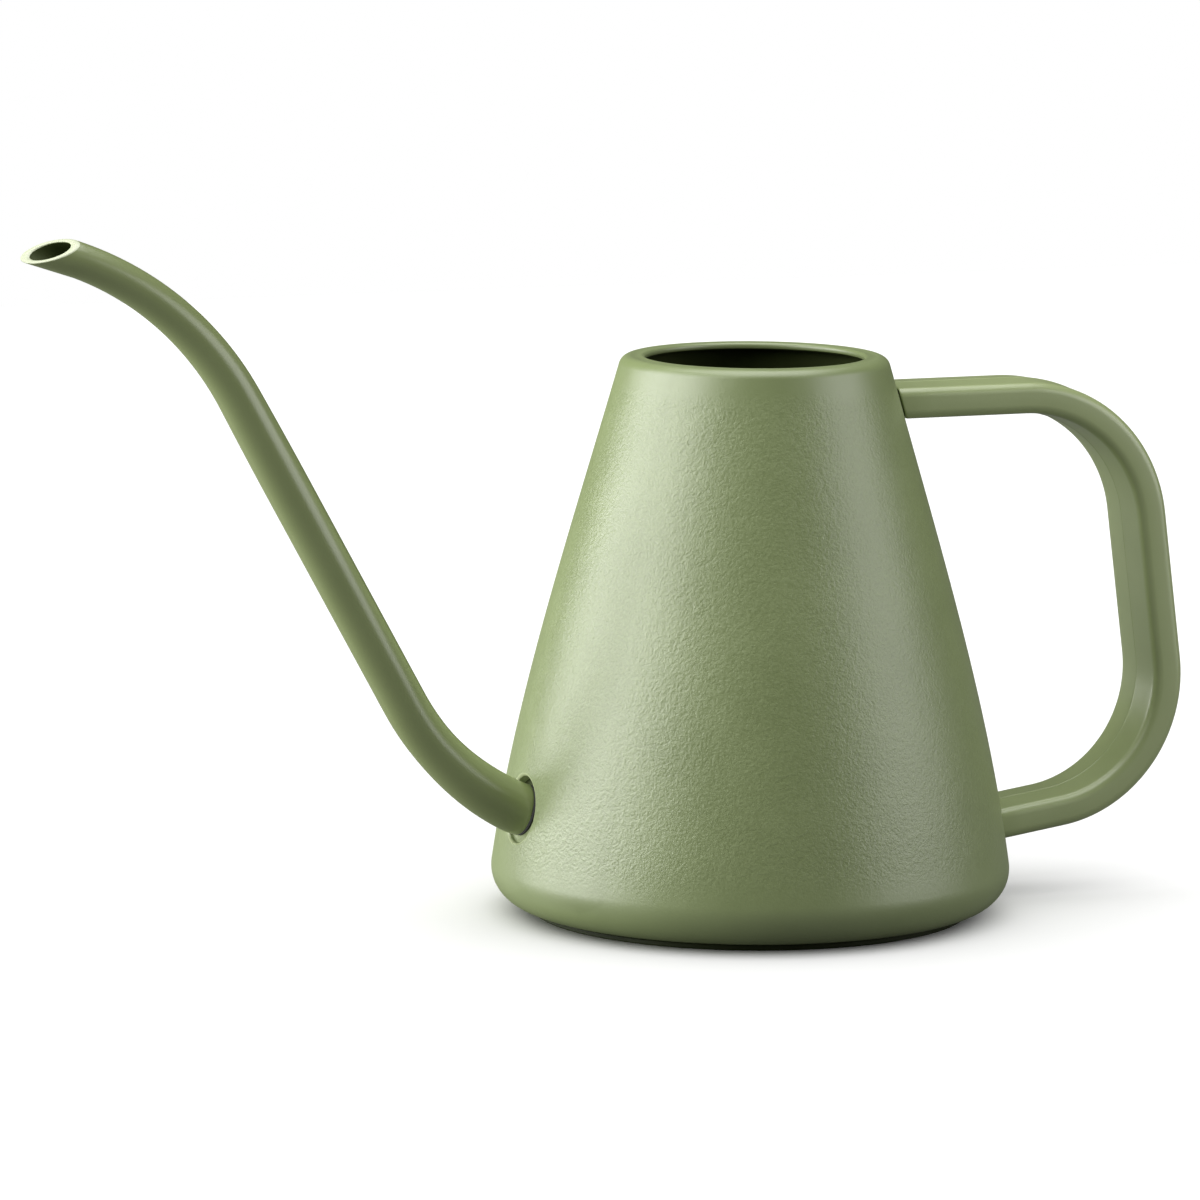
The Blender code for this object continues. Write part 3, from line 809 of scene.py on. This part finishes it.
handle_lower_corner_x = side_radius(handle_lower_corner_height) + handle_lower_reach
grip_top = Vector((side_radius(handle_top_height) + handle_upper_reach, 0.0, handle_top_height))
grip_foot = Vector((handle_lower_corner_x, 0.0, handle_lower_corner_height))
lower_away = Vector((-math.cos(handle_lower_slope), 0.0, -math.sin(handle_lower_slope)))


def band_outline():
    """The band's outline, width along x: crowned faces with a fine moulding line down their middles."""
    flat = handle_width / 2 - handle_round
    edge = handle_thickness / 2 - handle_draft
    points = []
    for face in (1, -1):
        for across in ((1, -1) if face > 0 else (-1, 1)):
            start = {(1, 1): 0.0, (-1, 1): 0.5, (-1, -1): 1.0, (1, -1): 1.5}[(across, face)] * math.pi
            for i in range(10):
                angle = start + math.pi / 2 * i / 9
                points.append((across * flat + handle_round * math.cos(angle),
                               face * (edge - handle_round) + handle_round * math.sin(angle), 0.0))
            if across == face:
                crown = [(share, edge + handle_draft * (1 - share)) for share in (0.75, 0.5, 0.25, 0.03)]
                points += [(face * flat * share, face * height, 0.0) for share, height in crown]
                points.append((face * line_half_width, face * (handle_thickness / 2), 0.0))
                points.append((0.0, face * (handle_thickness / 2 + line_height), 0.0))
                points.append((-face * line_half_width, face * (handle_thickness / 2), 0.0))
                points += [(-face * flat * share, face * height, 0.0) for share, height in reversed(crown)]
    return points


def make_handle():
    arm_start = Vector((side_radius(handle_top_height) + 0.0080, 0.0, handle_top_height))
    arm_end = grip_foot + lower_away * ((handle_lower_reach - 0.0080) / math.cos(handle_lower_slope))
    corners = [arm_start, grip_top, grip_foot, arm_end]
    stations = rounded_path(corners, [handle_upper_bend, handle_lower_bend], math.radians(2.5))
    stations = evenly(stations, 0.0040)

    def full(place, heading):
        normal = Vector((0.0, 1.0, 0.0)).cross(heading)
        return lambda point: place + Vector((0.0, 1.0, 0.0)) * point.x + normal * point.y

    def inset_point(point, amount):
        reach = Vector((handle_width / 2, handle_thickness / 2, 0.0))
        return Vector((point.x * (1 - amount / reach.x), point.y * (1 - amount / reach.y), 0.0))

    def on_body(place, heading, amount, clearance):
        """The outline, drawn in by an amount, slid along the arm to a clearance from the body."""
        shape = full(place, heading)

        def at(point):
            spot = shape(inset_point(point, amount))
            low, high = -0.030, 0.010
            away = heading if heading.x < 0 else -heading
            for _ in range(30):
                middle = (low + high) / 2
                here = spot + away * -middle
                limit = side_radius(here.z) + clearance / math.cos(side_lean(here.z))
                if math.hypot(here.x, here.y) > limit:
                    high = middle
                else:
                    low = middle
            return spot + away * -high
        return at

    def neck_ring(place, heading, x):
        normal = Vector((0.0, 1.0, 0.0)).cross(heading)
        sign = 1.0 if normal.z > 0 else -1.0

        def at(point):
            across = point.x * neck_width / handle_width
            return Vector((x, across, place.z + sign * point.y * neck_thickness / handle_thickness))
        return at

    upper = (arm_start, Vector((1.0, 0.0, 0.0)))
    lower = (arm_end, lower_away)
    lower_foot = Vector((0.0, 0.0, lower_fixing_height))
    edge = 0.00055
    places = [neck_ring(*upper, upper_pad + gap), neck_ring(*upper, side_radius(handle_top_height) - 0.0005)]
    places.append(neck_ring(*upper, side_radius(handle_top_height) + 0.0030))
    turns = [math.pi / 2 * i / 4 for i in range(5)]
    end_round = [(edge * (1 - math.sin(turn)), edge * (1 - math.cos(turn))) for turn in turns]
    for amount, back in end_round:
        places.append(on_body(*upper, amount, handle_end_gap + back))
    for place, heading in stations:
        places.append(full(place, heading))
    for amount, back in reversed(end_round):
        places.append(on_body(*lower, amount, handle_end_gap + back))
    wall_x = side_radius(lower_fixing_height)
    places.append(neck_ring(lower_foot, lower_away, wall_x + 0.0030))
    places.append(neck_ring(lower_foot, lower_away, wall_x - 0.0005))
    places.append(neck_ring(lower_foot, lower_away, lower_pad + gap))
    form = bmesh.new()
    drawn_through(form, band_outline(), places)
    handle = finished(form, "handle_moulding", handle_lightened_finish, 50.0)
    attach(handle, "can")
    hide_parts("handle")


make_handle()

# Pieces kept from the solid model take their finishes

for node, finish in (("spout_socket", sleeve_finish), ("handle_screw_upper", steel_finish),
                     ("handle_screw_lower", steel_finish), ("handle_washer_upper", rubber_finish),
                     ("handle_washer_lower", rubber_finish)):
    obj = frame["nodes"][node]
    obj.data.materials.clear()
    obj.data.materials.append(finish)

# Studio: pale floor, soft light and the camera

view_turn = math.radians(23.0)
view_distance = 1.9006
view_height = 0.3698
aim = Vector((-0.0378, 0.0160, 0.0840))
camera_roll = 0.0059
can_middle = Vector((0.0, 0.0, 0.08))
lamp_distance = 1.4
floor_half = 1.5
floor_bounce = (0.15, 0.15, 0.15, 1.0)
room_light = 0.05


def around_can(turn, rise):
    """A place round the can: turn is measured from the camera's side, to its right."""
    turn, rise = math.radians(turn), math.radians(rise)
    towards_camera = Vector((-math.sin(view_turn), -math.cos(view_turn), 0.0))
    rightwards = Vector((math.cos(view_turn), -math.sin(view_turn), 0.0))
    level = (towards_camera * math.cos(turn) + rightwards * math.sin(turn)) * math.cos(rise)
    return can_middle + (level + Vector((0.0, 0.0, math.sin(rise)))) * lamp_distance


def soft_light(name, place, size, brightness):
    """A flat soft box facing the can; brightness is the same however large it is."""
    data = bpy.data.lights.new(name, "AREA")
    data.shape = "RECTANGLE"
    data.size, data.size_y = size
    data.energy = brightness * math.pi * size[0] * size[1]
    lamp = bpy.data.objects.new(name, data)
    lamp.location = place
    lamp.rotation_euler = (can_middle - place).to_track_quat("-Z", "Y").to_euler()
    lamp.visible_camera = False
    bpy.context.scene.collection.objects.link(lamp)
    return lamp


def make_floor():
    """A pale floor, lit from overhead by a lamp of its own so that it stays white round the can."""
    form = bmesh.new()
    bmesh.ops.create_grid(form, x_segments=1, y_segments=1, size=floor_half)
    floor_finish, nodes, links, shader = new_finish("studio_floor")
    shader.inputs["Roughness"].default_value = 0.9
    shader.inputs["Specular IOR Level"].default_value = 0.0
    seen = nodes.new("ShaderNodeLightPath")
    tone = two_tone(nodes, links, seen.outputs["Is Camera Ray"], floor_bounce, (0.90, 0.90, 0.90, 1.0))
    links.new(tone, shader.inputs["Base Color"])
    floor = finished(form, "studio_floor", floor_finish)
    lit_alone = bpy.data.collections.new("floor_only")
    lit_alone.objects.link(floor)
    lamp = soft_light("floor_lamp", can_middle + Vector((0.0, 0.0, 2.0)), (14.0, 14.0), 1.42)
    lamp.light_linking.receiver_collection = lit_alone


def make_surroundings():
    """White behind the can, and a dim even light on it."""
    world = bpy.data.worlds.new("studio")
    bpy.context.scene.world = world
    world.use_nodes = True
    nodes, links = world.node_tree.nodes, world.node_tree.links
    background = nodes["Background"]
    background.inputs["Color"].default_value = (1.0, 1.0, 1.0, 1.0)
    seen = nodes.new("ShaderNodeLightPath")
    strength = between(nodes, links, seen.outputs["Is Camera Ray"], 0.0, 1.0, room_light, 1.0)
    links.new(strength, background.inputs["Strength"])


def make_camera():
    data = bpy.data.cameras.new("camera")
    data.sensor_width = 36.0
    data.lens = 214.07
    data.clip_end = 20.0
    camera = bpy.data.objects.new("camera", data)
    behind = Vector((-math.sin(view_turn), -math.cos(view_turn), 0.0))
    place = behind * view_distance + Vector((0.0, 0.0, view_height))
    look = (aim - place).to_track_quat("-Z", "Y").to_matrix().to_4x4()
    camera.matrix_world = Matrix.Translation(place) @ look @ Matrix.Rotation(camera_roll, 4, "Z")
    bpy.context.scene.collection.objects.link(camera)
    bpy.context.scene.camera = camera


make_floor()
make_surroundings()

# The lamps light the can alone, and those on the left take no shadow from the spout

lit_pieces = bpy.data.collections.new("lit_pieces")
for piece in bpy.context.scene.objects:
    if piece.type == "MESH" and piece.name != "studio_floor":
        lit_pieces.objects.link(piece)
shading_pieces = bpy.data.collections.new("shading_pieces")
for name in ("body_moulding", "base_disc", "handle_moulding"):
    shading_pieces.objects.link(bpy.data.objects[name])
lamps = [
    soft_light("glow_left", around_can(-98, -13), (1.50, 0.60), 3.9),
    soft_light("key_left_low", around_can(-88, 5), (1.65, 0.44), 5.1),
    soft_light("key_left", around_can(-74, 23), (1.65, 0.46), 4.7),
    soft_light("key_left_high", around_can(-65, 41), (2.00, 0.42), 1.9),
    soft_light("fill_right", around_can(78, 15), (1.15, 1.00), 2.2),
    soft_light("top", around_can(0, 90), (1.60, 1.60), 2.6),
]
for lamp in lamps:
    lamp.light_linking.receiver_collection = lit_pieces
for lamp in lamps[:3]:
    lamp.light_linking.blocker_collection = shading_pieces
make_camera()
bpy.context.scene.view_settings.view_transform = "Standard"
